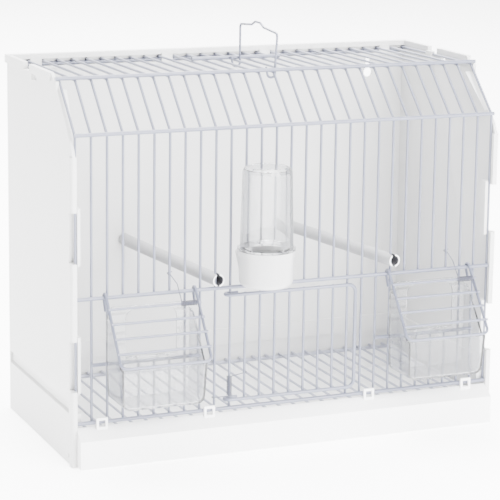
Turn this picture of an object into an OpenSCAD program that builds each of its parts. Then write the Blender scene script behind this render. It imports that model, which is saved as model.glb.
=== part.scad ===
// Bird training cage: a moulded shell closed by one bent wire grille.
// Lengths are in millimetres. The base stands on z = 0, x = 0 is the middle,
// and inside the modules y is counted from the plane of the upright front wires.

/* [Grille] */
// Distance between neighbouring grille wires
wire_pitch = 12.5; // [11:0.25:14]
// Number of grille wires
wire_count = 29; // [29:2:33]
// Thickness of a grille wire
wire_d = 2; // [1.6:0.1:2.4]
// Thickness of a cross bar
bar_d = 3; // [2.4:0.1:3.4]
// Depth by which welded wires sink into each other
weld = 0.05; // [0.02:0.01:0.1]
// Height of the bottom bar
bottom_bar_z = 33.6; // [32:0.1:40]
// Height of the sill bars under the feeder openings
sill_bar_z = 78.5; // [74:0.5:84]
// Height of the middle bar that carries the flaps
middle_bar_z = 129.9; // [126:0.1:136]
// Height of the knee where the wires leave the upright
knee_z = 253.2; // [240:0.2:265]
// Height of the roof wires
roof_z = 289.5; // [280:0.5:305]
// Horizontal run of the sloped wires
slope_run = 37; // [30:0.5:44]
// Distance from the roof bends back to the top of the shell's slope
slope_top_back = 9.3; // [8:0.1:12]
// Bend radius of the grille wires
bend_r = 5; // [3.5:0.5:7]
// Depth from the front wires to the inside of the back wall
inner_depth = 161.1; // [150:0.1:190]

/* [Shell] */
// Thickness of the side and back walls
wall = 2.4; // [2:0.1:3]
// Amount by which rims stand proud of the walls
rim_proud = 1.5; // [1:0.1:2.5]
// Height of the side rims
rim_h = 6.5; // [5:0.5:8]
// Height of the rims above the roof wires' middle
rim_above_roof = 5.5; // [4:0.1:7]
// Distance of the lips in front of the front wires
lip_reach = 5; // [4.5:0.1:6.5]
// Perpendicular step of the shell's slope behind the wires
slope_step = 4.4; // [4:0.1:6]
// Width of the ledge along the slope
slope_ledge_w = 9; // [6:0.5:10]
// Height of the skirt below the groove
skirt_h = 40; // [38:0.5:42]
// Height of the groove round the shell
groove_h = 10; // [8:0.5:12]
// Depth of the groove
groove_depth = 2; // [2:0.25:3.5]
// Height of a finger pocket
pocket_h = 39; // [34:1:44]
// Height of the middle of the lower finger pocket
low_pocket_z = 78.5; // [76:0.5:84]
// Height of the middle of the upper finger pocket
high_pocket_z = 177; // [165:1:190]
// Depth of a finger pocket behind the front wires
pocket_back = 4.4; // [3.5:0.1:6]
// Width of the rail that carries the drawer
rail_w = 6; // [5:0.5:8]
// Distance from the front wires to the notch in a side rim
notch_y = 98; // [80:1:110]
// Length of the notch in a side rim
notch_l = 16; // [12:0.5:20]
// Distance by which the snap tab starts before the notch
tab_lead = 6; // [4:0.5:10]
// Length of the snap tab below a side rim
snap_l = 31; // [24:1:36]
// Distance the screw slides up a keyhole
keyhole_slide = 11.6; // [8:0.2:16]
// Depth of the back rim from front to back
back_rim_depth = 8; // [6:0.1:10]
// Diameter of a keyhole's round part
keyhole_d = 8; // [7:0.1:9]
// Width of a keyhole's neck
keyhole_neck = 4.3; // [4:0.1:5]
// Distance between the two keyholes
keyhole_spacing = 286.6; // [250:0.2:300]
// Height of the keyholes' round parts
keyhole_z = 268.2; // [255:0.2:272]

/* [Centre door] */
// Thickness of the door frame's wire
door_wire_d = 2.8; // [2.4:0.1:3]
// Distance that the door frame reaches past its last own wire's pitch line
door_overlap = 6; // [4:0.25:8]
// Gap between the door frame and the bars above and below
door_gap = 3.4; // [2:0.1:5]
// Corner radius of the door frame
door_corner_r = 6; // [4:0.5:8]
// Length of a door hook's tail
door_tail = 8; // [6:0.5:10]
// Number of turns of the door spring
door_spring_turns = 12; // [6:1:14]

/* [Feeders] */
// Width of a flap between its side wires
flap_w = 72; // [69:0.5:74]
// Lean of a closed flap from the upright, in degrees
flap_lean = 36.7; // [30:0.1:42]
// Thickness of a flap frame's wire
flap_wire_d = 2.2; // [1.8:0.1:2.8]
// Sideways shift of the left flap on its bar
left_flap_shift = 2.2; // [0:0.05:2.6]
// Sideways shift of the right flap on its bar
right_flap_shift = 1.55; // [0:0.05:2]
// Number of turns of a flap spring
flap_spring_turns = 10; // [6:1:12]
// Thickness of the spring wire
spring_d = 0.75; // [0.5:0.05:0.8]
// Gap between neighbouring turns of a spring
turn_gap = 0.55; // [0.5:0.05:1]
// Gap between a spring's turns and the wire inside them
coil_gap = 0.4; // [0.3:0.05:0.6]
// Height of the flap springs' eyes above the middle bar
eye_rise = 15.3; // [12:0.1:20]
// Height of the bend in a flap spring's upper leg above the middle bar
leg_bend_rise = 6.8; // [4:0.1:9]
// Length of the straight end of a flap's hook
flap_tail = 10; // [6:0.5:11]
// Outer width of a feeder cup at its rim
cup_w = 68; // [64:0.5:70]
// Height of a feeder cup's rim above the sill bar's middle
cup_rim_rise = 4; // [4:0.2:8]
// Depth of a feeder cup's floor below the sill bar's middle
cup_drop = 27.7; // [24:0.1:32]
// Wall of a feeder cup
cup_wall = 1.6; // [1.2:0.1:2]
// Width of the window in a feeder cup's back wall
window_w = 41; // [38:1:46]
// Distance of the cup's cheeks below the line from the hinge
cheek_drop = 1; // [0:0.25:3]

/* [Drinker] */
// Diameter of the drinker cup's rim
drinker_d = 44.5; // [42:0.5:47]
// Height of the drinker cup
drinker_h = 28.2; // [26:0.2:34]
// Wall of the drinker cup
drinker_wall = 1.6; // [1.2:0.1:2]
// Diameter of the bottle at its flange
bottle_d = 40.8; // [38:0.2:41]
// Narrowing of the bottle's radius from its foot to its shoulder
bottle_taper = 1.3; // [0.5:0.1:2]
// Height of the bottle above the cup's rim
bottle_h = 64; // [50:0.5:80]
// Wall of the bottle
bottle_wall = 1.4; // [1:0.1:1.8]
// Depth of the bottle's neck inside the cup
neck_drop = 16; // [10:0.5:20]
// Reach of the drinking spout behind the front wires
spout_reach = 16; // [10:0.5:18]
// Width of the drinking spout
spout_w = 9.3; // [7:0.1:9.4]

/* [Perches] */
// Outer diameter of a perch
perch_d = 10; // [9:0.1:11]
// Bore of a perch
perch_bore = 7.7; // [7:0.1:8.2]
// Rise of the right perch above its seat on the flap's hook
right_perch_lift = 1.6; // [0:0.1:3]
// Distance by which a perch stands in front of the front wires
perch_reach = 6; // [5:0.1:7]
// Middle of the left perch's peg on the back wall
left_peg_x = -80; // [-84:0.5:-66]
// Middle of the right perch's peg on the back wall
right_peg_x = 63; // [60:0.5:84]
// Length of a perch peg
peg_l = 5; // [4:0.25:6]

/* [Handle] */
// Thickness of the handle's wire
handle_wire_d = 1.8; // [1.4:0.1:2.2]
// Height of the handle's corners above the roof wires
handle_h = 30; // [24:0.5:40]
// Distance from the front wires to the handle's front leg
handle_front_y = 39; // [38:0.5:50]
// Distance between the handle's legs
handle_span = 71.6; // [60:0.2:80]
// Height of the grip's hump
handle_hump = 3; // [2:0.25:4]
// Bend radius of the handle's hooks under the roof wire
eye_r = 3; // [2.6:0.1:3.4]
// Lean of the handle's front leg
handle_lean = 3.4; // [0:0.2:5]

/* [Drawer] */
// Distance of the drawer's front face before the front wires
strip_reach = 14; // [12:0.5:18]
// Height of the strip's upright face
strip_face_h = 22.5; // [20:0.5:24]
// Height of the strip's top edge
strip_top_z = 30.8; // [28:0.1:31.4]
// Wall of the drawer
drawer_wall = 2; // [1.6:0.1:2.4]
// Height of the tray's side walls
tray_top_z = 20.6; // [14:0.2:22]
// Width and height of a tab
tab_size = 9; // [8:0.5:10]
// Distance from the middle to the outer tabs
outer_tab_x = 156; // [150:0.5:160]
// Distance from the middle to the inner tabs
inner_tab_x = 68.5; // [60:0.5:76]

/* [Clearances] */
// Gap between a seated piece and its seat
seat_gap = 0.3; // [0.2:0.05:0.4]
// Gap between the end wires and the side walls
side_gap = 0.1; // [0.05:0.05:0.3]
// Gap between the drawer and what it slides in
drawer_gap = 0.5; // [0.4:0.1:1]

/* [Hidden] */
$fn = 32;

plastic_white = [0.95, 0.95, 0.94];
wire_white = [0.86, 0.87, 0.92];
spring_grey = [0.66, 0.69, 0.78];
clear_plastic = [0.9, 0.93, 0.95, 0.35];
perch_grey = [0.8, 0.8, 0.8];

wire_r = wire_d / 2;
bar_r = bar_d / 2;
middle_wire = (wire_count - 1) / 2;
last_wire = wire_count - 1;
bar_off = wire_r + bar_r - weld;
half_wires = middle_wire * wire_pitch;
inner_x = half_wires + wire_r + side_gap;
wall_x = inner_x + wall;
rim_x = wall_x + rim_proud;
lip_x = half_wires + 0.2;
bar_half = lip_x - seat_gap;
shell_h = roof_z + rim_above_roof;
back_y = inner_depth + wall;
back_rim_y = back_y + rim_proud;

function wire_x(i) = (i - middle_wire) * wire_pitch;
function unit(v) = v / norm(v);

// Places of the openings, counted in wires from the middle
hinge_wire = middle_wire - 4;
door_last_wire = middle_wire + 3;
feeder_mid = 9.5 * wire_pitch;
drinker_x = wire_x(middle_wire - 2.5);

// Slope of the grille and of the shell behind it
slope_rise = roof_z - knee_z;
slope_angle = atan2(slope_rise, slope_run);
knee_t = bend_r * tan((90 - slope_angle) / 2);
roof_t = bend_r * tan(slope_angle / 2);
shell_slope_low_z = knee_z - slope_step / cos(slope_angle);
shell_slope_top_y = slope_run + slope_top_back;
shell_slope = atan2(shell_h - shell_slope_low_z, shell_slope_top_y);
knee_out = unit([0, -sin((90 + slope_angle) / 2), cos((90 + slope_angle) / 2)]);
roof_out = unit([0, -sin(slope_angle / 2), cos(slope_angle / 2)]);
knee_inset = bend_r / cos((90 - slope_angle) / 2) - bend_r;
roof_inset = bend_r / cos(slope_angle / 2) - bend_r;

// Flap geometry: the bottom bar comes to rest on the rim of the cup
flap_r = flap_wire_d / 2;
hook_r = bar_r + seat_gap + flap_r;
cup_rim_z = sill_bar_z + cup_rim_rise;
cup_floor_z = sill_bar_z - cup_drop;
flap_fall = middle_bar_z - cup_rim_z - seat_gap - flap_r;
flap_angle = flap_lean;
flap_l = (flap_fall + hook_r * sin(flap_angle)) / cos(flap_angle);
flap_step = flap_l * 0.2034;
cup_back_y = -(bar_off + bar_r + seat_gap);

// Point of the flap at distance s from the hinge and height m over the hinge line
function flap_y(s, m) = -bar_off - s * sin(flap_angle) - m * cos(flap_angle);
function flap_z(s, m) = middle_bar_z - s * cos(flap_angle) + m * sin(flap_angle);
flap_bar_y = flap_y(flap_l, hook_r);
cup_front_y = flap_bar_y - 0.7;

// Drinker seat: its back plate stands on the middle bar
plate_t = 2.7;
plate_back_y = -(wire_r + seat_gap + 0.1);
plate_front_y = plate_back_y - plate_t;
plate_foot_z = middle_bar_z + bar_r + seat_gap;
drinker_z = plate_foot_z + 3.1;
drinker_y = plate_front_y + 0.35 - drinker_d / 2;
drinker_rim_z = drinker_z + drinker_h;
drinker_front = drinker_d / 2 - drinker_y;

// The part stands with the middle of its depth on the origin
grille_y = (drinker_front - back_rim_y) / 2;

module at_grille() {
  translate([0, grille_y, 0]) children();
}

// Straight round rod from a to b
module rod(a, b, d) {
  v = b - a;
  l = norm(v);
  if (l > 0.001)
    translate(a)
      rotate([0, acos(v[2] / l), atan2(v[1], v[0])])
        cylinder(h = l, d = d, $fn = 24);
}

// Wire bent like on a bending jig. It starts upwards at the origin, and each step is
// [straight length, bend angle, roll of the bend about the wire, bend radius].
// The bends are a hair thicker than the straights, which end a little way inside them.
module wire_run(steps, d, i = 0) {
  l = steps[i][0];
  into = 0.3;
  low = i > 0 ? -into : 0;
  high = i < len(steps) - 1 ? l + into : l;
  if (l > 0.001)
    translate([0, 0, low]) cylinder(h = high - low, d = d, $fn = 24);
  if (i < len(steps) - 1) {
    turn = steps[i][1];
    roll = steps[i][2];
    r = steps[i][3];
    translate([0, 0, l]) rotate([0, 0, roll]) {
      multmatrix([[-1, 0, 0, r], [0, 0, 1, 0], [0, 1, 0, 0], [0, 0, 0, 1]])
        rotate_extrude(angle = turn, $fn = 48)
          translate([r, 0]) circle(d = d + 0.06, $fn = 24);
      translate([r, 0, 0]) rotate([0, turn, 0]) translate([-r, 0, 0]) rotate([0, 0, -roll])
        wire_run(steps, d, i + 1);
    }
  }
}

// Side towards which a wire running along u bends to run along v
function bend_side(u, v) = unit(v - u * (u * v));

// Side vector x of a wire after it has bent from u to v
function carried_side(x, u, v) =
  let (b = bend_side(u, v), n = cross(u, b))
  (b * (u * v) - u * norm(cross(u, v))) * (x * b) + n * (x * n);

// Bent wire through a list of corners. The bend radius is one number, or a list
// with one for each corner.
module bent_wire(points, d, radius) {
  n = len(points);
  r = [for (i = [0 : n - 1]) is_list(radius) ? radius[i] : radius];
  dirs = [for (i = [0 : n - 2]) unit(points[i + 1] - points[i])];
  turns = [for (i = [0 : n - 1]) (i == 0 || i == n - 1) ? 0 : acos(dirs[i - 1] * dirs[i])];
  x0 = bend_side(dirs[0], dirs[1]);
  sides = [for (i = 0, x = x0;
                i < n - 1;
                x = carried_side(x, dirs[i], dirs[min(i + 1, n - 2)]), i = i + 1) x];
  cut = [for (i = [0 : n - 1]) r[i] * tan(turns[i] / 2)];
  steps = [for (i = [0 : n - 2])
             let (l = norm(points[i + 1] - points[i]) - cut[i] - cut[i + 1],
                  b = i < n - 2 ? bend_side(dirs[i], dirs[i + 1]) : sides[i])
             [l, turns[i + 1], atan2(b * cross(dirs[i], sides[i]), b * sides[i]), r[i + 1]]];
  y0 = cross(dirs[0], x0);
  z0 = dirs[0];
  p = points[0];
  multmatrix([[x0[0], y0[0], z0[0], p[0]],
              [x0[1], y0[1], z0[1], p[1]],
              [x0[2], y0[2], z0[2], p[2]],
              [0, 0, 0, 1]])
    wire_run(steps, d);
}

module bar_along_x(x0, x1, y, z, d) {
  rod([x0, y, z], [x1, y, z], d);
}

// Outline in the y-z plane, made solid from x0 to x1
module side_profile(points, x0, x1) {
  translate([x0, 0, 0])
    rotate([90, 0, 90])
      linear_extrude(x1 - x0) polygon(points);
}

// Box given by its low and high corners
module block(low, high) {
  translate(low) cube(high - low);
}

// Grille

module front_wires() {
  low_z = bottom_bar_z - wire_r;
  top_z = knee_z - knee_t;
  function is_feeder(i) = abs(abs(i - middle_wire) - 9.5) < 2;
  function is_door(i) = i > hinge_wire && i <= door_last_wire;
  color(wire_white) at_grille()
    for (i = [0 : last_wire]) {
      start_z = is_feeder(i) || is_door(i) ? middle_bar_z - wire_r : low_z;
      rod([wire_x(i), 0, start_z], [wire_x(i), 0, top_z], wire_d);
      if (is_feeder(i))
        rod([wire_x(i), 0, low_z], [wire_x(i), 0, sill_bar_z + wire_r], wire_d);
    }
}

module slope_wires() {
  color(wire_white) at_grille()
    for (i = [0 : last_wire])
      bent_wire([[wire_x(i), 0, knee_z - knee_t],
                 [wire_x(i), 0, knee_z],
                 [wire_x(i), slope_run, roof_z],
                 [wire_x(i), slope_run + roof_t, roof_z]], wire_d, bend_r);
}

rear_bar_y = inner_depth - bar_r - seat_gap;
rear_bar_z = roof_z - bar_off;

module roof_wires() {
  color(wire_white) at_grille()
    for (i = [0 : last_wire])
      rod([wire_x(i), slope_run + roof_t, roof_z], [wire_x(i), rear_bar_y + wire_r, roof_z], wire_d);
}

module bottom_bar() {
  color(wire_white) at_grille() bar_along_x(-bar_half, bar_half, -bar_off, bottom_bar_z, bar_d);
}

module middle_bar() {
  color(wire_white) at_grille() bar_along_x(-bar_half, bar_half, -bar_off, middle_bar_z, bar_d);
}

module knee_bar() {
  c = [0, 0, knee_z] + knee_out * (bar_off - knee_inset);
  half = half_wires + wire_r;
  color(wire_white) at_grille() bar_along_x(-half, half, c[1], c[2], bar_d);
}

top_bar = [0, slope_run, roof_z] + roof_out * (bar_off - roof_inset);

module top_front_bar() {
  color(wire_white) at_grille() bar_along_x(-wall_x, wall_x, top_bar[1], top_bar[2], bar_d);
}

module rear_bar() {
  color(wire_white) at_grille() bar_along_x(-bar_half, bar_half, rear_bar_y, rear_bar_z, bar_d);
}

stay_y = handle_front_y + handle_span + handle_wire_d / 2 + bar_r + 1.1;

module handle_stay_bar() {
  half = 3 * wire_pitch + wire_r;
  color(wire_white) at_grille() bar_along_x(-half, half, stay_y, roof_z + bar_off, bar_d);
}

module sill_bar(side) {
  x0 = 6 * wire_pitch - wire_r;
  x1 = 13 * wire_pitch + wire_r;
  color(wire_white) at_grille()
    bar_along_x(side > 0 ? x0 : -x1, side > 0 ? x1 : -x0, -bar_off, sill_bar_z, bar_d);
}

module left_sill_bar() {
  sill_bar(-1);
}

module right_sill_bar() {
  sill_bar(1);
}

// Carry handle: it stands beside the middle roof wire and hooks under it
module carry_handle() {
  leg_x = wire_r + seat_gap + handle_wire_d / 2;
  foot_z = roof_z - 4.5;
  tail_z = roof_z + 4;
  y0 = handle_front_y;
  y1 = handle_front_y + handle_span;
  top_z = roof_z + handle_h;
  mid = (y0 + y1) / 2;
  crest_z = top_z + 2 + handle_hump;
  tail_x = leg_x - 2 * eye_r - 1.7;
  // one wire: tail, hook, front leg, grip with its hump, rear leg, hook, tail
  color(wire_white) at_grille()
    bent_wire([[tail_x, y0, tail_z], [leg_x - 2 * eye_r, y0, foot_z], [leg_x, y0, foot_z],
               [leg_x, y0, roof_z + 5], [leg_x, y0 - handle_lean, top_z],
               [leg_x, mid - 12, top_z + 2], [leg_x, mid - 5, crest_z],
               [leg_x, mid + 5, crest_z], [leg_x, mid + 12, top_z + 2], [leg_x, y1, top_z],
               [leg_x, y1, foot_z], [leg_x - 2 * eye_r, y1, foot_z], [tail_x, y1, tail_z]],
              handle_wire_d, [0, eye_r, eye_r, 15, 3, 5, 5, 5, 5, 3, eye_r, eye_r, 0]);
}

// Shell

module shell_outline_wall(x0, x1) {
  side_profile([[-lip_reach, 0], [back_y, 0], [back_y, shell_h], [shell_slope_top_y, shell_h],
                [0, shell_slope_low_z], [-lip_reach, shell_slope_low_z - 9]], x0, x1);
}

module pocket_cut(z) {
  block([-rim_x - 1, -lip_reach - 1, z - pocket_h / 2],
        [-inner_x + wall + 0.1, pocket_back, z + pocket_h / 2]);
}

// Jog of the wall behind a finger pocket: the end wire stands free in front of it
module pocket_wall(z) {
  low = z - pocket_h / 2;
  high = z + pocket_h / 2;
  jog_x = -half_wires + wire_r + 0.4;
  block([jog_x, -1, low - wall], [jog_x + wall, pocket_back + wall, high + wall]);
  block([-wall_x, pocket_back, low - wall], [jog_x + wall, pocket_back + wall, high + wall]);
  for (edge = [low - wall, high])
    block([-wall_x, wire_r + 0.4, edge], [jog_x + wall, pocket_back + wall, edge + wall]);
}

module side_panel() {
  rim_low = shell_h - rim_h;
  ledge_low_z = knee_z + 3;
  ledge_l = (roof_z - 6 - ledge_low_z) / sin(shell_slope);
  groove_low = skirt_h;
  groove_high = skirt_h + groove_h;
  clip_y = [notch_y + 3, notch_y + notch_l - 3];
  tab_y = notch_y - tab_lead;
  seat_y = [top_bar[1] - bar_r - 0.5, top_bar[1] + bar_r + 0.5];
  difference() {
    union() {
      shell_outline_wall(-wall_x, -inner_x);
      // front lip with a rounded outer corner
      lip_top = shell_slope_low_z - 9;
      block([-rim_x, -lip_reach + 2.5, 0], [-inner_x, wire_r, lip_top]);
      block([-rim_x + 2.5, -lip_reach, 0], [-lip_x, -wire_r - 1.2, lip_top]);
      translate([-rim_x + 2.5, -lip_reach + 2.5, 0]) cylinder(h = lip_top, r = 2.5);
      // seat under the end of the top front bar
      block([-wall_x, seat_y[0], shell_slope_low_z + seat_y[0] * tan(shell_slope) - 4],
            [-inner_x, seat_y[1], top_bar[2] - bar_r - seat_gap]);
      // top rim
      block([-rim_x, shell_slope_top_y, rim_low], [-inner_x, back_rim_y, shell_h]);
      // ledge along the slope, behind the end wire, wider towards the roof
      translate([0, (ledge_low_z - shell_slope_low_z) / tan(shell_slope), ledge_low_z])
        rotate([shell_slope, 0, 0])
          translate([0, 0, -2.3])
            linear_extrude(2)
              polygon([[-wall_x + 0.5, 0], [-inner_x + 2.6, 0],
                       [-wall_x + slope_ledge_w, ledge_l], [-wall_x + 0.5, ledge_l]]);
      // wall set back behind the groove
      block([-inner_x - 0.1, pocket_back + 3, groove_low - 2],
            [-inner_x + groove_depth, inner_depth - seat_gap, groove_high + 2]);
      // rail under the drawer
      block([-inner_x - 0.1, 3, 0], [-inner_x + rail_w, back_y - wall - 1, 2]);
      // snap tab below the rim
      block([-rim_x, tab_y, rim_low - 5], [-wall_x + 0.1, tab_y + snap_l, rim_low + 0.1]);
      // clip round the end wire of the roof
      block([-inner_x - 0.1, clip_y[0], roof_z - 4.5], [-half_wires + 2.5, clip_y[1], roof_z + 2.5]);
      // rest behind the foot of the end wire
      block([-inner_x - 0.1, wire_r + 0.4, bottom_bar_z - 1], [-inner_x + 6, 5.5, bottom_bar_z + 7]);
    }
    // groove round the shell
    translate([0, pocket_back + 2, 0])
      rotate([-90, 0, 0])
        linear_extrude(inner_depth - seat_gap - pocket_back - 2)
          polygon([[-rim_x - 1, -groove_low + 1], [-rim_x - 1, -groove_high - 1],
                   [-wall_x + 0, -groove_high], [-wall_x + groove_depth, -groove_high + 1.5],
                   [-wall_x + groove_depth, -groove_low - 1.5], [-wall_x + 0, -groove_low]]);
    for (z = [low_pocket_z, high_pocket_z]) pocket_cut(z);
    // notch in the rim beside the clip
    block([-rim_x - 1, notch_y, roof_z], [-inner_x + 0.2, notch_y + notch_l, shell_h + 1]);
    // end wire's hole in its clip
    rod([-half_wires, clip_y[0] - 1, roof_z], [-half_wires, clip_y[1] + 1, roof_z], wire_d + 0.6);
    // slot beside the snap tab
    block([-wall_x - 1, tab_y - 9, rim_low - 4.5], [-inner_x + 1, tab_y - 2, rim_low - 0.5]);
    // small clip hole at the foot of the wall
    block([-wall_x - 1, 5.5, 5], [-inner_x + 1, 7.5, 8.5]);
  }
  for (z = [low_pocket_z, high_pocket_z]) pocket_wall(z);
}

module left_side_panel() {
  color(plastic_white) at_grille() side_panel();
}

module right_side_panel() {
  color(plastic_white) at_grille() mirror([1, 0, 0]) side_panel();
}

// Keyhole: the screw's head enters the round part and the neck slides down over its shank
module keyhole(x) {
  translate([x, inner_depth - 1, keyhole_z])
    rotate([-90, 0, 0]) cylinder(h = wall + 2, d = keyhole_d, $fn = 48);
  block([x - keyhole_neck / 2, inner_depth - 1, keyhole_z],
        [x + keyhole_neck / 2, back_y + 1, keyhole_z + keyhole_slide]);
  translate([x, inner_depth - 1, keyhole_z + keyhole_slide])
    rotate([-90, 0, 0]) cylinder(h = wall + 2, d = keyhole_neck);
}

left_perch_z = middle_bar_z + bar_r + seat_gap + perch_d / 2;
right_perch_z = middle_bar_z + hook_r + flap_r + seat_gap + right_perch_lift + perch_d / 2;
peg_d = perch_bore - 1.4;

module peg(x, z) {
  translate([x, inner_depth + 0.1, z])
    rotate([90, 0, 0]) cylinder(h = peg_l + 0.1, d = peg_d);
}

module back_panel() {
  half = inner_x - side_gap;
  backing_half = inner_x - groove_depth - seat_gap;
  rim_front = back_rim_y - back_rim_depth;
  channel_low = rear_bar_z - bar_r - 0.3;
  channel_high = roof_z + wire_r + 0.7;
  groove_high = skirt_h + groove_h;
  web_w = wire_pitch - wire_d - 1;
  color(plastic_white) at_grille()
    difference() {
      union() {
        block([-half, inner_depth, 0], [half, back_y, shell_h]);
        difference() {
          block([-half, rim_front, channel_low - 2.2], [half, back_rim_y, shell_h]);
          block([-half - 1, rim_front - 1, channel_low], [half + 1, inner_depth + 0.6, channel_high]);
        }
        // webs that hold the rear bar in its channel
        for (side = [-1, 1], k = [3.5, 12.5])
          block([side * k * wire_pitch - web_w / 2, rim_front - 1, channel_low - 1],
                [side * k * wire_pitch + web_w / 2, rear_bar_y - bar_r - seat_gap, channel_high + 1]);
        block([-backing_half, inner_depth - groove_depth, skirt_h - 2],
              [backing_half, inner_depth + 0.1, groove_high + 2]);
        peg(left_peg_x, left_perch_z);
        peg(right_peg_x, right_perch_z);
      }
      for (side = [-1, 1]) keyhole(side * keyhole_spacing / 2);
      side_profile([[back_rim_y + 1, skirt_h - 1], [back_y, skirt_h],
                    [back_y - groove_depth, skirt_h + 1.5], [back_y - groove_depth, groove_high - 1.5],
                    [back_y, groove_high], [back_rim_y + 1, groove_high + 1]], -half - 1, half + 1);
    }
}

// Centre door: its frame hooks round the hinge wire and closes against the grille

door_r = door_wire_d / 2;
door_y = -(wire_r + seat_gap + door_r);
door_top_z = middle_bar_z - bar_r - door_gap - door_r;
door_low_z = bottom_bar_z + bar_r + door_gap + door_r;
door_right_x = wire_x(door_last_wire + 1) + door_overlap;

module door_frame() {
  loop_r = wire_r + seat_gap + door_r + 0.65;
  x0 = wire_x(hinge_wire);
  w = door_right_x - x0 - door_corner_r;
  h = door_top_z - door_low_z - 2 * door_corner_r;
  // one wire: tail, hook, top, side, bottom, hook, tail
  color(wire_white) at_grille()
    translate([x0 + door_tail, door_y + 2 * loop_r, door_top_z])
      multmatrix([[0, 0, -1, 0], [-1, 0, 0, 0], [0, 1, 0, 0], [0, 0, 0, 1]])
        wire_run([[door_tail, 180, 0, loop_r], [w, 90, -90, door_corner_r], [h, 90, -90, door_corner_r],
                  [w, 180, 0, loop_r], [door_tail, 0, 0, 0]], door_wire_d);
}

door_wire_y = door_y + door_r + wire_r - weld;

module door_wires() {
  color(wire_white) at_grille()
    for (i = [hinge_wire + 1 : door_last_wire])
      rod([wire_x(i), door_wire_y, door_low_z - wire_r],
          [wire_x(i), door_wire_y, door_top_z + wire_r], wire_d);
}

// Feeder flaps

flap_along = [0, -sin(flap_angle), -cos(flap_angle)];
flap_out = [0, -cos(flap_angle), sin(flap_angle)];
tail_lean = flap_angle - 12;

function on_flap(x, s, m) = [x, flap_y(s, m), flap_z(s, m)];

module flap_frame(mid) {
  corner_r = 5;
  side = flap_l - corner_r;
  hook_turn = 180 - flap_angle + tail_lean;
  color(wire_white) at_grille()
    translate([mid - flap_w / 2, -bar_off, middle_bar_z])
      rotate([-tail_lean, 0, 0])
        translate([0, hook_r, -flap_tail])
          rotate([0, 0, -90])
            wire_run([[flap_tail, hook_turn, 0, hook_r], [side, 90, 90, corner_r],
                      [flap_w - 2 * corner_r, 90, 90, corner_r], [side, hook_turn, 0, hook_r],
                      [flap_tail, 0, 0, 0]], flap_wire_d);
}

cross_m = hook_r + flap_r + wire_r - weld;

module flap_wires(mid) {
  half = flap_w / 2 + 1.2;
  color(wire_white) at_grille()
    for (k = [1 : 4])
      bar_along_x(mid - half, mid + half,
                  flap_y(k * flap_step, cross_m), flap_z(k * flap_step, cross_m), wire_d);
}

left_flap_mid = -feeder_mid + left_flap_shift;
right_flap_mid = feeder_mid + right_flap_shift;

module left_flap_frame() {
  flap_frame(left_flap_mid);
}

module left_flap_wires() {
  flap_wires(left_flap_mid);
}

module right_flap_frame() {
  flap_frame(right_flap_mid);
}

module right_flap_wires() {
  flap_wires(right_flap_mid);
}

// Springs: one unbroken tube along a list of points

function tangent(p, i) = unit(p[min(i + 1, len(p) - 1)] - p[max(i - 1, 0)]);
function carried(a, t) = unit(a - t * (a * t));

module tube_along(p, d, first_side) {
  n = len(p);
  t = [for (i = [0 : n - 1]) tangent(p, i)];
  sides = [for (i = 0, a = carried(first_side, t[0]);
                i < n;
                a = carried(a, t[min(i + 1, n - 1)]), i = i + 1) a];
  rings = [for (i = [0 : n - 1], k = [0 : 5])
             p[i] + (cos(60 * k) * sides[i] + sin(60 * k) * cross(t[i], sides[i])) * d / 2];
  skin_a = [for (i = [0 : n - 2], k = [0 : 5]) [6 * i + k, 6 * i + 6 + k, 6 * i + 6 + (k + 1) % 6]];
  skin_b = [for (i = [0 : n - 2], k = [0 : 5])
              [6 * i + k, 6 * i + 6 + (k + 1) % 6, 6 * i + (k + 1) % 6]];
  start_cap = [for (k = [1 : 4]) [0, k, k + 1]];
  end_cap = [for (k = [1 : 4]) [6 * n - 6, 6 * n - 5 + k, 6 * n - 6 + k]];
  polyhedron(points = rings, faces = concat(skin_a, skin_b, start_cap, end_cap));
}

// Least gap of a tube to itself, measured between the points of its middle line
function self_gap(p, d) =
  min([for (i = [0 : len(p) - 1], j = [i + 6 : 1 : len(p) - 1]) norm(p[i] - p[j])]) - d;

// Points of a curl round c, from angle a0 to a1, while it moves on by the vector along
function curl(c, u, v, r, a0, a1, n, along) =
  [for (i = [0 : n])
     let (a = a0 + (a1 - a0) * i / n)
     c + along * i / n + (cos(a) * u + sin(a) * v) * r];

coil_r = wire_r + spring_d / 2 + coil_gap;
coil_step = spring_d + turn_gap;
east = [1, 0, 0];
back = [0, 1, 0];
up = [0, 0, 1];

// Door spring: coiled round the hinge wire, one leg on each side
door_spring_z = door_low_z + door_r + 1.5;
door_spring_l = door_spring_turns * coil_step;
hinge_x = wire_x(hinge_wire);
door_spring_path =
  concat(curl([wire_x(hinge_wire - 1), 0, door_spring_z - 0.4], east, back, coil_r,
              90, 270, 4, [0, 0, 0.4]),
         curl([hinge_x, 0, door_spring_z], east, back, coil_r, -90, 360 * door_spring_turns - 90,
              8 * door_spring_turns, up * door_spring_l),
         curl([wire_x(hinge_wire + 1), door_wire_y, door_spring_z + door_spring_l + 2.2], east, back, coil_r,
              -90, 90, 4, [0, 0, 0.4]));

module door_spring() {
  color(spring_grey) at_grille() tube_along(door_spring_path, spring_d, up);
}

// Flap spring: coiled on the first cross wire, its upper leg ends in an eye round a grille wire
flap_spring_l = flap_spring_turns * coil_step;

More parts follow.
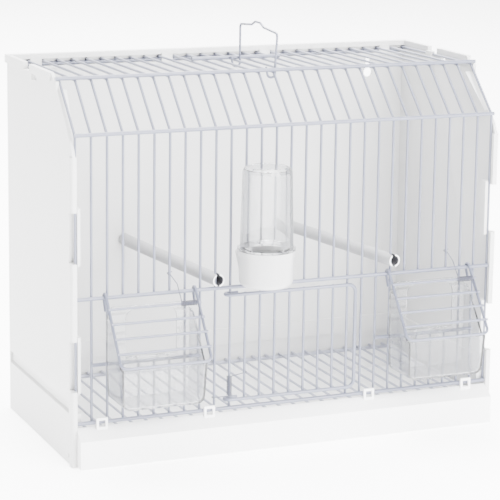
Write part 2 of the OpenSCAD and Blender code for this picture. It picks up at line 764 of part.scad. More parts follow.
function flap_spring_path(mid, eye_x) =
  let (x1 = mid + flap_w / 2 - flap_r - spring_d / 2 - coil_gap,
       x0 = x1 - flap_spring_l,
       c = on_flap(x0, flap_step, cross_m),
       bend = [x0 - spring_d / 2, -bar_off - bar_r - 2 * spring_d, middle_bar_z + leg_bend_rise],
       s = (bend - c) * flap_along,
       m = (bend - c) * flap_out,
       a0 = atan2(s, m) + acos(coil_r / norm([s, m])))
  concat(curl([eye_x, 0, middle_bar_z + eye_rise], east, back, coil_r, 0, 270, 6, [0, 0, -2.3 * spring_d]),
         [bend],
         curl(c, flap_out, flap_along, coil_r, a0, 360 * flap_spring_turns,
              8 * flap_spring_turns, [flap_spring_l, 0, 0]),
         [on_flap(x1, 2 * flap_step + 2 * wire_r, cross_m + coil_r)]);

left_flap_spring_path = flap_spring_path(left_flap_mid, -feeder_mid + 1.5 * wire_pitch);
right_flap_spring_path = flap_spring_path(right_flap_mid, feeder_mid + 1.5 * wire_pitch);

module left_flap_spring() {
  color(spring_grey) at_grille() tube_along(left_flap_spring_path, spring_d, east);
}

module right_flap_spring() {
  color(spring_grey) at_grille() tube_along(right_flap_spring_path, spring_d, east);
}

echo(least_gap_door_spring = self_gap(door_spring_path, spring_d));
echo(least_gap_left_flap_spring = self_gap(left_flap_spring_path, spring_d));
echo(least_gap_right_flap_spring = self_gap(right_flap_spring_path, spring_d));

// Feeder cup: a moulded trough with a high back wall and two cheeks

cup_shift = 0.5;
cup_taper = 1.2;
cup_top_z = middle_bar_z - 7;
cup_floor_r = 6;

// Front view of the cup, drawn in by t on every side but the top
function cup_front(t, top) =
  let (half = cup_w / 2 - t, low = half - cup_taper, r = cup_floor_r - t, z0 = cup_floor_z + t)
  concat([for (k = [0 : 6]) [low - r + r * sin(15 * k), z0 + r - r * cos(15 * k)]],
         [[half, cup_rim_z], [half, cup_top_z - 8 + top], [half - 4, cup_top_z + top],
          [-half + 4, cup_top_z + top], [-half, cup_top_z - 8 + top], [-half, cup_rim_z]],
         [for (k = [6 : -1 : 0]) [-low + r - r * sin(15 * k), z0 + r - r * cos(15 * k)]]);

module cup_prism(points) {
  rotate([90, 0, 0]) linear_extrude(80) polygon(points);
}

module feeder_cup(mid) {
  cheek_top = on_flap(0, 11, -cheek_drop);
  cheek_low = on_flap(0, flap_l - 1.5, -cheek_drop);
  window_x = mid + 1.65;
  window_top = cup_top_z - 3;
  window_low = sill_bar_z + 4.5;
  tongue_low = sill_bar_z - 2.5;
  tongue_top = sill_bar_z + bar_r + seat_gap;
  tongue_y = -bar_off + bar_r + seat_gap;
  color(clear_plastic) at_grille() {
    difference() {
      intersection() {
        translate([mid, 0, 0]) cup_prism(cup_front(0, 0));
        side_profile([[cup_back_y, cup_floor_z], [cup_back_y, cup_top_z],
                      [cup_back_y - cup_wall, cup_top_z],
                      [cheek_top[1], cheek_top[2]], [cheek_low[1], cup_rim_z], [cup_front_y, cup_rim_z],
                      [cup_front_y + 2.5, cup_floor_z]], mid - cup_w, mid + cup_w);
      }
      intersection() {
        translate([mid, 0, 0]) cup_prism(cup_front(cup_wall, 30));
        side_profile([[cup_back_y - cup_wall, cup_floor_z + cup_wall],
                      [cup_back_y - cup_wall, cup_top_z + 20],
                      [cup_front_y + cup_wall, cup_top_z + 20], [cup_front_y + cup_wall, cup_rim_z],
                      [cup_front_y + cup_wall + 2.3, cup_floor_z + cup_wall]], mid - cup_w, mid + cup_w);
      }
      // window towards the cage
      block([window_x - window_w / 2, cup_back_y - 3, window_low],
            [window_x + window_w / 2, 0, window_top - 8]);
      block([window_x - window_w / 2 + 8, cup_back_y - 3, window_top - 9],
            [window_x + window_w / 2 - 8, 0, window_top]);
      for (x = [window_x - window_w / 2 + 8, window_x + window_w / 2 - 8])
        translate([x, 0, window_top - 8]) rotate([90, 0, 0]) cylinder(h = 8, r = 8);
    }
    // tongues that hang on the sill bar
    for (x = [mid - cup_shift - wire_pitch, mid - cup_shift + wire_pitch]) {
      block([x - 4, cup_back_y - 1, tongue_top], [x + 4, tongue_y + cup_wall, tongue_top + cup_wall]);
      block([x - 4, tongue_y, tongue_low], [x + 4, tongue_y + cup_wall, tongue_top + 0.1]);
    }
  }
}

module left_feeder_cup() {
  feeder_cup(-feeder_mid + cup_shift);
}

module right_feeder_cup() {
  feeder_cup(feeder_mid + cup_shift);
}

// Drinker

module drinker_cup() {
  r_top = drinker_d / 2;
  r_low = r_top - 1.5;
  w = drinker_wall;
  trough_z = drinker_z + 3;
  plate_top_z = drinker_rim_z - 3;
  trough_back_y = spout_reach;
  color(plastic_white) at_grille()
    difference() {
      union() {
        translate([drinker_x, drinker_y, drinker_z])
          rotate_extrude($fn = 96)
            polygon(concat([[0, 0]],
                           [for (k = [0 : 6]) [r_low - 5 + 5 * sin(15 * k), 5 - 5 * cos(15 * k)]],
                           [[r_top - 0.8, drinker_h - 4], [r_top, drinker_h - 4],
                            [r_top, drinker_h], [0, drinker_h]]));
        // back plate, standing on the middle bar
        translate([drinker_x, plate_back_y, 0])
          rotate([90, 0, 0])
            linear_extrude(plate_t)
              polygon([[-6, plate_foot_z], [6, plate_foot_z], [12, drinker_z + 7],
                       [15.5, plate_top_z - 2], [13.5, plate_top_z], [-13.5, plate_top_z],
                       [-15.5, plate_top_z - 2], [-12, drinker_z + 7]]);
        block([drinker_x - spout_w / 2, plate_front_y - 4, trough_z],
              [drinker_x + spout_w / 2, trough_back_y, trough_z + 12]);
      }
      translate([drinker_x, drinker_y, drinker_z])
        rotate_extrude($fn = 96)
          polygon(concat([[0, w]],
                         [for (k = [0 : 6])
                            [r_low - 5 + (5 - w) * sin(15 * k), 5 - (5 - w) * cos(15 * k)]],
                         [[r_top - w, drinker_h - 3], [r_top - w, drinker_h + 1], [0, drinker_h + 1]]));
      block([drinker_x - spout_w / 2 + 1.4, plate_front_y - 8, trough_z + 1.4],
            [drinker_x + spout_w / 2 - 1.4, trough_back_y - 1.4, trough_z + 12.1]);
    }
}

module drinker_bottle() {
  flange_z = drinker_rim_z + seat_gap;
  top_z = drinker_rim_z + bottle_h;
  neck_z = drinker_rim_z - neck_drop;
  r = bottle_d / 2;
  r_top = r - bottle_taper;
  neck_r = 13;
  w = bottle_wall;
  color(clear_plastic) at_grille()
    translate([drinker_x, drinker_y, 0])
      rotate_extrude($fn = 96)
        polygon([[neck_r - w, neck_z], [neck_r, neck_z], [neck_r, flange_z],
                 [drinker_d / 2, flange_z], [drinker_d / 2, flange_z + 1.6], [r, flange_z + 1.6],
                 [r_top, top_z - 4], [r_top - 1.2, top_z - 1.2], [r_top - 4, top_z], [0, top_z],
                 [0, top_z - w], [r_top - 4.3, top_z - w], [r_top - w - 0.8, top_z - 2.4],
                 [r_top - w, top_z - 4.4], [r - w, flange_z + 3.2], [neck_r - w, flange_z + 1.6]]);
}

// Perches: tubes pushed on the pegs of the back wall, slotted at the front to grip one wire

module perch(x_front, x_back, z) {
  dx = x_back - x_front;
  len_y = inner_depth - seat_gap + perch_reach;
  lean = atan2(dx, len_y);
  tube_l = norm([dx, len_y]) - abs(tan(lean)) * perch_d / 2;
  slot_x = x_front + dx * perch_reach / len_y;
  color(perch_grey) at_grille()
    difference() {
      translate([x_front, -perch_reach, z])
        rotate([0, 0, -lean]) rotate([-90, 0, 0])
          difference() {
            cylinder(h = tube_l, d = perch_d, $fn = 64);
            translate([0, 0, -1]) cylinder(h = tube_l + 2, d = perch_bore, $fn = 64);
          }
      // slot round the grille wire
      block([slot_x - wire_r - seat_gap, -perch_reach - 1, z - perch_d],
            [slot_x + wire_r + seat_gap, wire_r + seat_gap, z + perch_d]);
    }
}

perch_lead = perch_reach / (inner_depth + perch_reach);

module left_perch() {
  perch(wire_x(hinge_wire - 1) - (left_peg_x - wire_x(hinge_wire - 1)) * perch_lead,
        left_peg_x, left_perch_z);
}

module right_perch() {
  perch(wire_x(middle_wire + 7) - (right_peg_x - wire_x(middle_wire + 7)) * perch_lead,
        right_peg_x, right_perch_z);
}

// Drawer

tray_half = inner_x - 2.6 - drawer_gap;
strip_half = lip_x + 0.4;
strip_half_back = lip_x - 0.3;
tray_low = 2 + seat_gap;
tray_back_y = inner_depth - 0.6;
strip_low = 0.5;

module drawer() {
  w = drawer_wall;
  strip = [[-strip_reach, strip_low], [-strip_reach, strip_face_h],
           [-3, strip_top_z], [-3, strip_top_z - w - 0.4],
           [-strip_reach + w, strip_face_h - 0.9], [-strip_reach + w, strip_low]];
  cheek = [[-strip_reach, strip_low], [-strip_reach, strip_face_h],
           [-3, strip_top_z], [-3, strip_low]];
  // the strip is drawn in where it passes between the lips
  color(plastic_white) at_grille() {
    difference() {
      union() {
        side_profile(strip, -strip_half, strip_half);
        for (x = [-strip_half, strip_half - 7]) side_profile(cheek, x, x + 7);
      }
      for (side = [-1, 1])
        block([side > 0 ? strip_half_back : -strip_half - 1, -lip_reach - 0.3, 0],
              [side > 0 ? strip_half + 1 : -strip_half_back, 1, strip_top_z + 1]);
    }
    block([-tray_half, -strip_reach + 1, tray_low], [tray_half, tray_back_y, tray_low + w]);
    for (x = [-tray_half, tray_half - w]) block([x, -4, tray_low], [x + w, tray_back_y, tray_top_z]);
    block([-tray_half, tray_back_y - w, tray_low], [tray_half, tray_back_y, tray_top_z]);
    // square tabs in front of the bottom bar
    tab_y = -bar_off - bar_r - seat_gap - w;
    tab_low = strip_top_z - 2.6;
    hole = [tab_size - 3.8, tab_size - 3];
    for (x = [-outer_tab_x, -inner_tab_x, inner_tab_x, outer_tab_x])
      difference() {
        block([x - tab_size / 2, tab_y, tab_low],
              [x + tab_size / 2, tab_y + w, tab_low + tab_size + 0.4]);
        block([x - hole[0] / 2, tab_y - 1, tab_low + 2.4],
              [x + hole[0] / 2, tab_y + w + 1, tab_low + 1.4 + hole[1]]);
      }
  }
}

// Floor grid: it lies on the walls of the tray

grid_bar_z = tray_top_z + seat_gap + bar_r;
grid_back_y = tray_back_y - 1;

module floor_grid_wires() {
  z = grid_bar_z + bar_off;
  color(wire_white) at_grille()
    for (i = [1 : last_wire - 1])
      rod([wire_x(i), 2.5, z], [wire_x(i), grid_back_y, z], wire_d);
}

module floor_grid_bars() {
  half = tray_half - 0.3;
  color(wire_white) at_grille()
    for (y = [4.5, grid_back_y - 1.6])
      bar_along_x(-half, half, y, grid_bar_z, bar_d);
}

// Drawing
left_side_panel();
right_side_panel();
back_panel();
front_wires();
slope_wires();
roof_wires();
bottom_bar();
middle_bar();
knee_bar();
top_front_bar();
rear_bar();
handle_stay_bar();
left_sill_bar();
right_sill_bar();
carry_handle();
door_frame();
door_wires();
door_spring();
left_flap_frame();
left_flap_wires();
left_flap_spring();
right_flap_frame();
right_flap_wires();
right_flap_spring();
left_feeder_cup();
right_feeder_cup();
drinker_cup();
drinker_bottle();
left_perch();
right_perch();
drawer();
floor_grid_wires();
floor_grid_bars();
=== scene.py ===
# %% [markdown]
# A small white training cage for birds: a moulded shell, a grille of bent and coated
# steel wire, sprung wire doors, clear cups and a drawer. The solids come from the packed
# model and already have every true size, so this lesson dresses them: soft moulded
# edges, smooth springs, and finishes that behave like plastic, coated wire and clear
# mouldings under studio light.

# %% Load the frame
import math
import bmesh
import bpy
from mathutils import Matrix, Vector


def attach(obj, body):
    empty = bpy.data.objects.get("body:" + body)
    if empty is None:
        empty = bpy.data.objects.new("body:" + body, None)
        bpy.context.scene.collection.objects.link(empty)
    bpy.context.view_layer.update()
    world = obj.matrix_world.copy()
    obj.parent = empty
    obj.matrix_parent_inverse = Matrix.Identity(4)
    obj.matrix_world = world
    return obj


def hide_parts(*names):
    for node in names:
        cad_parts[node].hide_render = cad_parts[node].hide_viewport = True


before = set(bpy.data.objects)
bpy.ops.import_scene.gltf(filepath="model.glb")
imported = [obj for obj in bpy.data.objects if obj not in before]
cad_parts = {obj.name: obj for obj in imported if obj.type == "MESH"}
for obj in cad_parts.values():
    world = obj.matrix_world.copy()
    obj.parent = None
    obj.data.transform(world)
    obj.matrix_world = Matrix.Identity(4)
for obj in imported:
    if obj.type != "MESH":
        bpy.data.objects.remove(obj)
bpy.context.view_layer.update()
mm = 0.001

# %% [markdown]
# The photograph was taken from a little above and from the left front, with a long lens.
# A camera could be set by eye, but a wire grille shows every error. The 29 evenly spaced
# wires gave the lens, the place and the tilt, so it is set from those numbers. The shift
# only frames the object as the photo does.

# %% Camera
az, el, roll = math.radians(-23.151), math.radians(10.884), math.radians(0.752)
back = Vector((math.sin(az) * math.cos(el), -math.cos(az) * math.cos(el), math.sin(el)))
right = (-back).cross(Vector((0, 0, 1))).normalized()
up = right.cross(-back)
side = right * math.cos(roll) + up * math.sin(roll)
top = up * math.cos(roll) - right * math.sin(roll)
grille_y = -0.058375
eye = Vector((-0.6404, -1.4251 + grille_y, 0.4981))
camera_data = bpy.data.cameras.new("photo_camera")
camera_data.sensor_width = 36
camera_data.lens = 148.08
camera_data.shift_x = -0.0080
camera_data.shift_y = -0.1094
camera_data.clip_end = 20
camera = bpy.data.objects.new("photo_camera", camera_data)
bpy.context.scene.collection.objects.link(camera)
camera.matrix_world = Matrix.Translation(eye) @ Matrix((side, top, back)).transposed().to_4x4()
bpy.context.scene.camera = camera
print("camera stands", round(eye.length, 2), "m from the cage")

# %% [markdown]
# A packshot like this one is lit by large white panels. Area lights make such panels: a
# broad one from the right front, a weak one from behind on the left, one above and one
# that lights the ground behind. The floor is a light table: it glows, so it stays white
# under the cage. The world is a soft white for the clear cups and the coated wires to
# mirror.

# %% Studio light and floor
def area_light(name, place, aim, size, power):
    data = bpy.data.lights.new(name, "AREA")
    data.shape = "SQUARE"
    data.size = size
    data.energy = power
    lamp = bpy.data.objects.new(name, data)
    bpy.context.scene.collection.objects.link(lamp)
    place, aim = Vector(place), Vector(aim)
    turn = (place - aim).to_track_quat("Z", "Y").to_matrix().to_4x4()
    lamp.matrix_world = Matrix.Translation(place) @ turn


area_light("front_panel", (0.5, -1.7, 0.8), (0, 0, 0.15), size=1.2, power=150)
area_light("left_panel", (-0.9, 0.9, 0.5), (-0.18, 0.05, 0.15), size=0.5, power=5)
area_light("top_panel", (0.0, 0.1, 1.5), (0, 0, 0.1), size=1.2, power=110)
area_light("back_panel", (0.4, 1.9, 1.7), (0.4, 1.7, 0), size=2.4, power=260)

room_glow = 0.5
world = bpy.data.worlds.new("white_room")
bpy.context.scene.world = world
world.use_nodes = True
room = world.node_tree.nodes["Background"]
room.inputs["Color"].default_value = (1, 1, 1, 1)
room.inputs["Strength"].default_value = room_glow

floor_reach = 6
floor_mesh = bpy.data.meshes.new("floor")
floor_form = bmesh.new()
bmesh.ops.create_grid(floor_form, x_segments=1, y_segments=1, size=floor_reach)
floor_form.to_mesh(floor_mesh)
floor_form.free()
floor = bpy.data.objects.new("floor", floor_mesh)
bpy.context.scene.collection.objects.link(floor)
print("four soft panels and a glowing floor")

# %% [markdown]
# Moulded plastic is never perfectly even: the surface has a fine grain from the tool and
# drifts a little in tone and gloss. One node group makes that, and every opaque finish
# places it with its own values. It reads Object coordinates, so it stays on the piece
# when the piece moves. A picture wrapped round each piece would need unwrapping and would
# show seams, which noise doesn't. A Mix node has sockets of the same name for each kind
# of value, so those for colours are picked by number.

# %% Surface group
mix_factor, mix_a, mix_b, mix_result = 0, 6, 7, 2
drift_detail, grain_detail, grain_height = 3, 2, 0.2 * mm


def add_socket(group, name, kind, direction, value=None):
    made = group.interface.new_socket(name=name, in_out=direction, socket_type=kind)
    if value is not None:
        made.default_value = value


def surface_group():
    group = bpy.data.node_groups.new("fine_surface", "ShaderNodeTree")
    add_socket(group, "Light Tone", "NodeSocketColor", "INPUT", (1, 1, 1, 1))
    add_socket(group, "Dark Tone", "NodeSocketColor", "INPUT", (0.8, 0.8, 0.8, 1))
    add_socket(group, "Drift Scale", "NodeSocketFloat", "INPUT", 12.0)
    add_socket(group, "Grain Scale", "NodeSocketFloat", "INPUT", 900.0)
    add_socket(group, "Gloss Low", "NodeSocketFloat", "INPUT", 0.3)
    add_socket(group, "Gloss High", "NodeSocketFloat", "INPUT", 0.5)
    add_socket(group, "Grain Depth", "NodeSocketFloat", "INPUT", 0.2)
    add_socket(group, "Color", "NodeSocketColor", "OUTPUT")
    add_socket(group, "Roughness", "NodeSocketFloat", "OUTPUT")
    add_socket(group, "Normal", "NodeSocketVector", "OUTPUT")
    nodes, links = group.nodes, group.links
    given = nodes.new("NodeGroupInput")
    out = nodes.new("NodeGroupOutput")
    place = nodes.new("ShaderNodeTexCoord")
    drift = nodes.new("ShaderNodeTexNoise")
    drift.inputs["Detail"].default_value = drift_detail
    grain = nodes.new("ShaderNodeTexNoise")
    grain.inputs["Detail"].default_value = grain_detail
    tone = nodes.new("ShaderNodeMix")
    tone.data_type = "RGBA"
    gloss = nodes.new("ShaderNodeMapRange")
    bump = nodes.new("ShaderNodeBump")
    bump.inputs["Distance"].default_value = grain_height
    links.new(place.outputs["Object"], drift.inputs["Vector"])
    links.new(place.outputs["Object"], grain.inputs["Vector"])
    links.new(given.outputs["Drift Scale"], drift.inputs["Scale"])
    links.new(given.outputs["Grain Scale"], grain.inputs["Scale"])
    links.new(drift.outputs["Fac"], tone.inputs[mix_factor])
    links.new(given.outputs["Dark Tone"], tone.inputs[mix_a])
    links.new(given.outputs["Light Tone"], tone.inputs[mix_b])
    links.new(drift.outputs["Fac"], gloss.inputs["Value"])
    links.new(given.outputs["Gloss Low"], gloss.inputs["To Min"])
    links.new(given.outputs["Gloss High"], gloss.inputs["To Max"])
    links.new(grain.outputs["Fac"], bump.inputs["Height"])
    links.new(given.outputs["Grain Depth"], bump.inputs["Strength"])
    links.new(tone.outputs[mix_result], out.inputs["Color"])
    links.new(gloss.outputs["Result"], out.inputs["Roughness"])
    links.new(bump.outputs["Normal"], out.inputs["Normal"])
    return group


fine_surface = surface_group()
print("group sockets:", len(fine_surface.interface.items_tree))

# %% [markdown]
# Each opaque finish has a light and a dark tone that it drifts between, the scale of the
# drift and of the grain, a range of gloss and a depth of grain. A coated wire has a clear
# coat as well. The tones look low for white goods, because the studio light is strong.

# %% Opaque finishes
coat_roughness = 0.12


def opaque(name, light, dark, drift, grain, gloss, depth, coat=0.0):
    material = bpy.data.materials.new(name)
    material.use_nodes = True
    nodes, links = material.node_tree.nodes, material.node_tree.links
    shader = nodes["Principled BSDF"]
    shader.inputs["Coat Weight"].default_value = coat
    shader.inputs["Coat Roughness"].default_value = coat_roughness
    surface = nodes.new("ShaderNodeGroup")
    surface.node_tree = fine_surface
    surface.inputs["Light Tone"].default_value = (*light, 1)
    surface.inputs["Dark Tone"].default_value = (*dark, 1)
    surface.inputs["Drift Scale"].default_value = drift
    surface.inputs["Grain Scale"].default_value = grain
    surface.inputs["Gloss Low"].default_value = gloss[0]
    surface.inputs["Gloss High"].default_value = gloss[1]
    surface.inputs["Grain Depth"].default_value = depth
    links.new(surface.outputs["Color"], shader.inputs["Base Color"])
    links.new(surface.outputs["Roughness"], shader.inputs["Roughness"])
    links.new(surface.outputs["Normal"], shader.inputs["Normal"])
    return material


wire_surface = dict(drift=60, grain=900, gloss=(0.25, 0.4), depth=0.15, coat=0.3)
shell_plastic = opaque("shell_plastic", (0.64, 0.64, 0.638), (0.58, 0.58, 0.578),
                       drift=9, grain=1400, gloss=(0.38, 0.5), depth=0.12)
drawer_plastic = opaque("drawer_plastic", (0.88, 0.88, 0.88), (0.83, 0.83, 0.83),
                        drift=7, grain=1200, gloss=(0.3, 0.4), depth=0.08)
coated_wire = opaque("coated_wire", (0.14, 0.15, 0.205), (0.112, 0.122, 0.17), **wire_surface)
# The spring's tones are painted shade: dark for the shaded gaps between its turns.
spring_wire = opaque("spring_wire", (0.1, 0.105, 0.145), (0.08, 0.085, 0.12),
                     drift=90, grain=1500, gloss=(0.25, 0.4), depth=0.1)
# Lighter copies of the same coating: painted light from above on the roof, and painted light over
# the shade on the floor grid.
roof_wire = opaque("roof_wire", (0.21, 0.22, 0.28), (0.17, 0.18, 0.24), **wire_surface)
grid_wire = opaque("grid_wire", (0.32, 0.33, 0.4), (0.27, 0.28, 0.35), **wire_surface)
# One light perch plastic in three painted tones: painted shade on the sides, painted light on the
# cut end, painted shade in the bore.
perch_plastic = opaque("perch_plastic", (0.36, 0.36, 0.37), (0.31, 0.31, 0.32),
                       drift=25, grain=700, gloss=(0.45, 0.6), depth=0.25)
perch_end = opaque("perch_end", (0.9, 0.9, 0.9), (0.84, 0.84, 0.84),
                   drift=25, grain=700, gloss=(0.45, 0.6), depth=0.1)
perch_bore = opaque("perch_bore", (0.09, 0.09, 0.095), (0.06, 0.06, 0.065),
                    drift=25, grain=700, gloss=(0.5, 0.65), depth=0.1)
cup_plastic = opaque("cup_plastic", (0.5, 0.5, 0.505), (0.46, 0.46, 0.465),
                     drift=20, grain=1200, gloss=(0.2, 0.3), depth=0.05, coat=0.2)
floor_paper = opaque("floor_paper", (0.97, 0.97, 0.97), (0.95, 0.95, 0.95),
                     drift=2, grain=400, gloss=(0.6, 0.7), depth=0.05)
floor_glow = 4.5
floor_shader = floor_paper.node_tree.nodes["Principled BSDF"]
floor_shader.inputs["Emission Color"].default_value = (1, 1, 1, 1)
floor_shader.inputs["Emission Strength"].default_value = floor_glow
floor_mesh.materials.append(floor_paper)
print("opaque finishes:", fine_surface.users)

# %% [markdown]
# A spring's hard wire mirrors the room on the crown of each turn and goes dark on its
# flanks, where the next turn is all that it can mirror. A turn is only a pixel or two
# wide here, too fine for true reflections to show, so a Layer Weight paints the flanks
# in a near-black tone: painted shade. The spring's own tones are dark as well, painted
# shade for the gaps between its turns.

# %% Spring flanks
def paint_flank_shade(material, flank_shade, blend):
    nodes, links = material.node_tree.nodes, material.node_tree.links
    shader = nodes["Principled BSDF"]
    surface = nodes["Group"]
    facing = nodes.new("ShaderNodeLayerWeight")
    facing.inputs["Blend"].default_value = blend
    tone = nodes.new("ShaderNodeMix")
    tone.data_type = "RGBA"
    tone.inputs[mix_b].default_value = (*flank_shade, 1)
    links.new(facing.outputs["Facing"], tone.inputs[mix_factor])
    links.new(surface.outputs["Color"], tone.inputs[mix_a])
    links.new(tone.outputs[mix_result], shader.inputs["Base Color"])


paint_flank_shade(spring_wire, flank_shade=(0.01, 0.01, 0.02), blend=0.6)
print("dark flanks on:", spring_wire.name)

# %% [markdown]
# The feeder cups and the drinker's bottle are clear mouldings. Alpha alone would let one
# see through them without bending any light. Full transmission with a low roughness gives
# the bright rims and the soft lines where light bends through the walls. A Layer Weight
# greys each wall where it is seen edge-on: a painted reflection of dark surroundings.
# The roughness drifts a little, as handled plastic does.

# %% Clear plastic
plastic_ior, painted_edge_falloff = 1.4, 0.85
ripple_strength, ripple_height = 0.02, 0.6 * mm


def clear(name, tint, edge, rough, drift, solid):
    material = bpy.data.materials.new(name)
    material.use_nodes = True
    nodes, links = material.node_tree.nodes, material.node_tree.links
    shader = nodes["Principled BSDF"]
    shader.inputs["Transmission Weight"].default_value = 1.0
    shader.inputs["IOR"].default_value = plastic_ior
    shader.inputs["Alpha"].default_value = solid
    # Painted reflection: greys the walls where they are seen edge-on.
    rim = nodes.new("ShaderNodeLayerWeight")
    rim.inputs["Blend"].default_value = painted_edge_falloff
    tone = nodes.new("ShaderNodeMix")
    tone.data_type = "RGBA"
    tone.inputs[mix_a].default_value = (*tint, 1)
    tone.inputs[mix_b].default_value = (*edge, 1)
    links.new(rim.outputs["Facing"], tone.inputs[mix_factor])
    links.new(tone.outputs[mix_result], shader.inputs["Base Color"])
    place = nodes.new("ShaderNodeTexCoord")
    noise = nodes.new("ShaderNodeTexNoise")
    noise.inputs["Scale"].default_value = drift
    haze = nodes.new("ShaderNodeMapRange")
    haze.inputs["To Min"].default_value = rough[0]
    haze.inputs["To Max"].default_value = rough[1]
    ripple = nodes.new("ShaderNodeBump")
    ripple.inputs["Strength"].default_value = ripple_strength
    ripple.inputs["Distance"].default_value = ripple_height
    links.new(place.outputs["Object"], noise.inputs["Vector"])
    links.new(noise.outputs["Fac"], haze.inputs["Value"])
    links.new(haze.outputs["Result"], shader.inputs["Roughness"])
    links.new(noise.outputs["Fac"], ripple.inputs["Height"])
    links.new(ripple.outputs["Normal"], shader.inputs["Normal"])
    return material


# The edge tones are painted reflection: the grey that the walls take where seen edge-on.
clear_cup = clear("clear_cup", tint=(0.985, 0.987, 0.99), edge=(0.6, 0.61, 0.64),
                  rough=(0.0, 0.03), drift=40, solid=0.95)
clear_bottle = clear("clear_bottle", tint=(0.985, 0.987, 0.99), edge=(0.68, 0.69, 0.71),
                     rough=(0.0, 0.02), drift=60, solid=0.95)
print("clear finishes:", clear_cup.name, clear_bottle.name)

# %% [markdown]
# The grille is steel wire, welded and then coated white. Its wires could be drawn again
# as curves, but the solids are round already, so they stay and need nothing but their
# coating. The roof wires and the floor grid take lighter copies of the coating: painted
# light, from above on the roof and over the shade that the floor grid lies in. Each node
# takes its finish in its material slot, and the mouldings' copies, made further down,
# take theirs again.

# %% Finish on the carried-over solids
finishes = {
    coated_wire: ["front_wires", "slope_wires", "bottom_bar", "middle_bar", "knee_bar",
                  "top_front_bar", "rear_bar", "handle_stay_bar", "left_sill_bar",
                  "right_sill_bar", "carry_handle", "door_frame", "door_wires",
                  "left_flap_frame", "left_flap_wires", "right_flap_frame",
                  "right_flap_wires"],
    roof_wire: ["roof_wires"],
    grid_wire: ["floor_grid_wires", "floor_grid_bars"],
    shell_plastic: ["left_side_panel", "right_side_panel", "back_panel"],
    drawer_plastic: ["drawer"],
    cup_plastic: ["drinker_cup"],
    perch_plastic: ["left_perch", "right_perch"],
    clear_cup: ["left_feeder_cup", "right_feeder_cup"],
    clear_bottle: ["drinker_bottle"],
    spring_wire: ["door_spring", "left_flap_spring", "right_flap_spring"],
}
for material, names in finishes.items():
    for name in names:
        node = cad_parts[name]
        node.data.materials.clear()
        node.data.materials.append(material)
print("dressed nodes:", sum(len(names) for names in finishes.values()))

# %% [markdown]
# A perch is a cut tube of light plastic, and its light and shade are painted: the outer
# side takes a dark copy of the plastic as painted shade, the cut end a light copy as
# painted light, and the bore a near-black copy as painted shade. Faces could be picked
# by number, but the numbers change when the solid does. So the box of the node gives the
# tube's axis, and each face is sorted by where it looks.

# %% Perch ends and bores
lit_end_slot, bore_shade_slot = 1, 2
front_limit = -0.9
for name in ("left_perch", "right_perch"):
    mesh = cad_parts[name].data
    mesh.materials.append(perch_end)
    mesh.materials.append(perch_bore)
    across = [v.co.x for v in mesh.vertices]
    heights = [v.co.z for v in mesh.vertices]
    axis = Vector(((min(across) + max(across)) / 2, 0, (min(heights) + max(heights)) / 2))
    for face in mesh.polygons:
        out = Vector((face.center.x, 0, face.center.z)) - axis
        if face.normal.y < front_limit:
            face.material_index = lit_end_slot
        elif out.dot(face.normal) < 0:
            face.material_index = bore_shade_slot
    bore_shade_faces = sum(face.material_index == bore_shade_slot for face in mesh.polygons)
    print(name, "faces in the bore:", bore_shade_faces)

# %% [markdown]
# A moulding has no sharp edge: its tool is rounded a little, and the light catches that
# round. The solids carry true flat faces, so a copy of the node is merged, its flat
# faces are joined, and every edge gets a narrow bevel. The bevel is a modifier, so its
# width can still be changed. The copy then stands for the node.

# %% Soft moulded edges
merge_reach, sliver, flat_angle = 0.02 * mm, 0.01 * mm, math.radians(1)
bevel_steps, bevel_angle, sharp_angle = 2, math.radians(32), math.radians(30)


def moulded_copy(node_name, body, material, width):
    form = bmesh.new()
    form.from_mesh(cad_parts[node_name].data)
    bmesh.ops.remove_doubles(form, verts=form.verts, dist=merge_reach)
    bmesh.ops.dissolve_limit(form, angle_limit=flat_angle, verts=form.verts, edges=form.edges)
    bmesh.ops.dissolve_degenerate(form, dist=sliver, edges=form.edges)
    mesh = bpy.data.meshes.new(node_name + "_moulding")
    form.to_mesh(mesh)
    form.free()
    mesh.materials.append(material)
    piece = bpy.data.objects.new(node_name + "_moulding", mesh)
    bpy.context.scene.collection.objects.link(piece)
    edge_round = piece.modifiers.new("edge_round", "BEVEL")
    edge_round.width = width
    edge_round.segments = bevel_steps
    edge_round.limit_method = "ANGLE"
    edge_round.angle_limit = bevel_angle
    for face in mesh.polygons:
        face.use_smooth = True
    mesh.set_sharp_from_angle(angle=sharp_angle)
    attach(piece, body)
    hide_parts(node_name)
    print(node_name, "->", len(mesh.polygons), "faces")


for name in ("left_side_panel", "right_side_panel", "back_panel"):
    moulded_copy(name, "cage", shell_plastic, 0.35 * mm)
moulded_copy("drawer", "drawer_body", drawer_plastic, 0.4 * mm)
for name in ("left_feeder_cup", "right_feeder_cup"):
    moulded_copy(name, "cage", clear_cup, 0.3 * mm)
moulded_copy("drinker_cup", "drinker", cup_plastic, 0.4 * mm)

# %% [markdown]
# The springs are the liveliest small parts: thin hard wire wound round a grille wire. In
# the solid they have few sides. A Screw modifier could wind the coil but not its legs and
# eyes. So the whole route is drawn with many points and a round section, as a curve with
# thickness, made a mesh at the end. Its lengths are in millimetres, and y counts from the
# plane of the grille wires.

# %% Spring routes
wire_r, spring_d = 1.0, 0.75
coil_gap, turn_gap = 0.4, 0.55
coil_r = wire_r + spring_d / 2 + coil_gap
coil_step = spring_d + turn_gap
per_turn, section_steps = 24, 3
east, north, high = Vector((1, 0, 0)), Vector((0, 1, 0)), Vector((0, 0, 1))


def curl(centre, u, v, start, end, count, along):
    points = []
    for k in range(count + 1):
        t = math.radians(start + (end - start) * k / count)
        points.append(centre + along * (k / count) + (u * math.cos(t) + v * math.sin(t)) * coil_r)
    return points


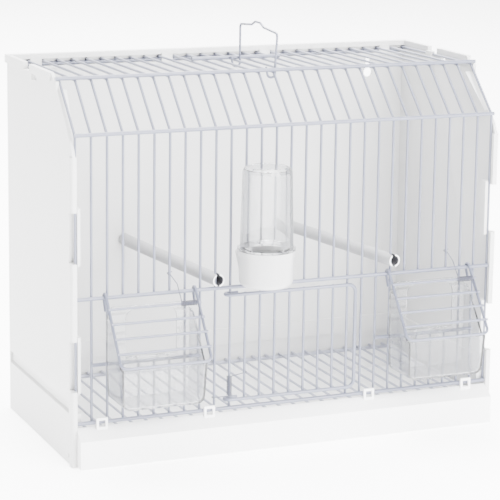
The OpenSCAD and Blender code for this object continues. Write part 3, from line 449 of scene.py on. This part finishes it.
def spring_piece(name, points, body, node_name):
    data = bpy.data.curves.new(name, "CURVE")
    data.dimensions = "3D"
    data.bevel_depth = spring_d / 2 * mm
    data.bevel_resolution = section_steps
    data.use_fill_caps = True
    line = data.splines.new("POLY")
    line.points.add(len(points) - 1)
    for spot, p in zip(line.points, points):
        spot.co = (p.x * mm, p.y * mm + grille_y, p.z * mm, 1)
    drawn = bpy.data.objects.new(name + "_line", data)
    bpy.context.scene.collection.objects.link(drawn)
    bpy.context.view_layer.update()
    evaluated = drawn.evaluated_get(bpy.context.evaluated_depsgraph_get())
    mesh = bpy.data.meshes.new_from_object(evaluated)
    bpy.data.objects.remove(drawn)
    mesh.name = name
    for face in mesh.polygons:
        face.use_smooth = True
    mesh.materials.clear()
    mesh.materials.append(spring_wire)
    piece = bpy.data.objects.new(name, mesh)
    bpy.context.scene.collection.objects.link(piece)
    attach(piece, body)
    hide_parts(node_name)
    print(name, "points:", len(points))


# %% [markdown]
# The door spring is wound round the door's hinge wire. Its lower leg hooks on the next
# grille wire and its upper leg on the first wire of the door, which it presses shut.

# %% Door spring
hinge_x, pitch = -50.0, 12.5
turns, coil_low = 12, 42.8
coil_long = turns * coil_step
hook_rise, upper_leg_rise, door_wire_y = 0.4, 2.2, -0.35
lower_hook = Vector((hinge_x - pitch, 0, coil_low - hook_rise))
upper_hook = Vector((hinge_x + pitch, door_wire_y, coil_low + coil_long + upper_leg_rise))
points = curl(lower_hook, east, north, 90, 270, per_turn // 2, high * hook_rise)
points += curl(Vector((hinge_x, 0, coil_low)), east, north, -90, 360 * turns - 90,
               per_turn * turns, high * coil_long)
points += curl(upper_hook, east, north, -90, 90, per_turn // 2, high * hook_rise)
spring_piece("door_spring_wire", points, "door", "door_spring")

# %% [markdown]
# Each feeder flap hangs on the middle bar and leans out to the rim of its cup. Its spring
# is wound on the flap's first cross wire: one leg runs down over the next cross wire, and
# the other up past the bar to an eye round a grille wire. The places are worked out along
# the flap and out from it, because the flap leans.

# %% Flap springs
bar_y, bar_z, turns = -2.45, 129.9, 10
cross_out, first_cross = 4.95, 12.11
second_cross = 2 * first_cross
bend_out, bend_rise = 3.0, 6.8
eye_rise, eye_drop = 15.3, 1.7
flap_w, flap_wire_r, flap_turn = 72.0, 1.1, math.radians(36.7)
along_flap = Vector((0, -math.sin(flap_turn), -math.cos(flap_turn)))
out_of_flap = Vector((0, -math.cos(flap_turn), math.sin(flap_turn)))


def on_flap(x, s, m):
    return Vector((x, bar_y, bar_z)) + along_flap * s + out_of_flap * m


def flap_spring(name, middle, eye_x, body, node_name):
    coil_end = middle + flap_w / 2 - flap_wire_r - spring_d / 2 - coil_gap
    coil_start = coil_end - turns * coil_step
    centre = on_flap(coil_start, first_cross, cross_out)
    bend = Vector((coil_start - spring_d / 2, bar_y - bend_out, bar_z + bend_rise))
    s, m = (bend - centre).dot(along_flap), (bend - centre).dot(out_of_flap)
    first = math.degrees(math.atan2(s, m) + math.acos(coil_r / math.hypot(s, m)))
    eye_place = Vector((eye_x, 0, bar_z + eye_rise))
    points = curl(eye_place, east, north, 0, 270, per_turn * 3 // 4, high * -eye_drop)
    points.append(bend)
    points += curl(centre, out_of_flap, along_flap, first, 360 * turns, per_turn * turns,
                   east * turns * coil_step)
    points.append(on_flap(coil_end, second_cross + 2 * wire_r, cross_out + coil_r))
    spring_piece(name, points, body, node_name)


flap_spring("left_flap_spring_wire", middle=-116.55, eye_x=-100.0,
            body="left_flap", node_name="left_flap_spring")
flap_spring("right_flap_spring_wire", middle=120.3, eye_x=137.5,
            body="right_flap", node_name="right_flap_spring")
